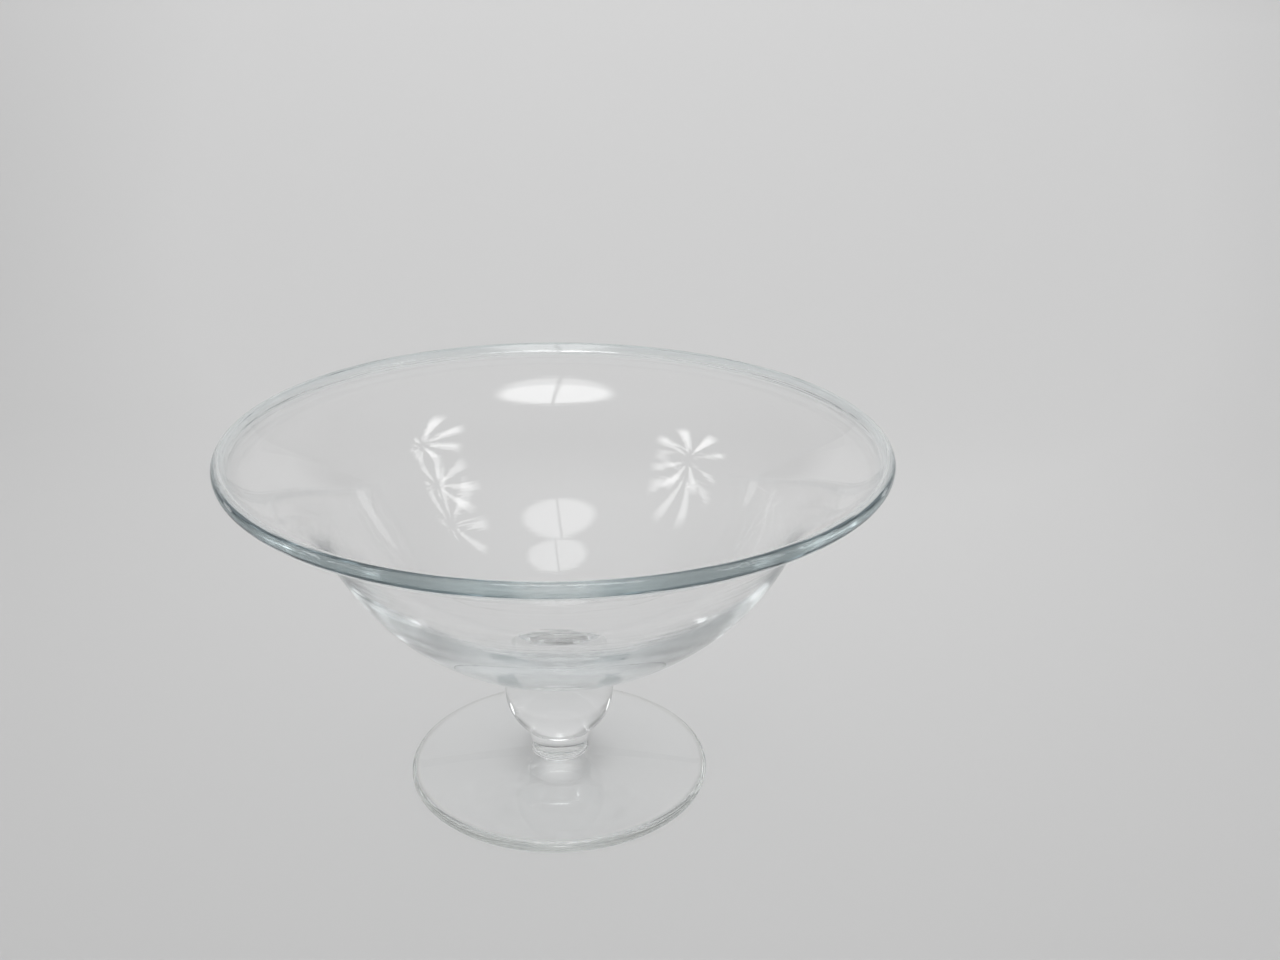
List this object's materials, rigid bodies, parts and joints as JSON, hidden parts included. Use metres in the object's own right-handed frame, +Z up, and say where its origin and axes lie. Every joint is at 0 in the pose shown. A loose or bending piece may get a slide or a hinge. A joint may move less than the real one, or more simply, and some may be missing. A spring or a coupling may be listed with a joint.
{
  "type": "footed fruit bowl",
  "caption": "Footed bowl of clear blown glass: a round body turning over into a wide flared rim, on a ball knop, a short collar and a flat disc foot, for serving fruit.",
  "frame": {"origin": "centre of the foot's flat underside", "axes": "+Z up along the bowl's axis of turning; +X and +Y in the plane it stands on"},
  "size_m": [0.2256, 0.2256, 0.1299],
  "materials": {
    "clear_glass": "fire-polished clear soda-lime glass with a faint blue-green cast at thick edges"
  },
  "bodies": {
    "root": {"bowl": "clear_glass", "ball_knop": "clear_glass", "collar": "clear_glass", "foot": "clear_glass"}
  },
  "joints": []
}
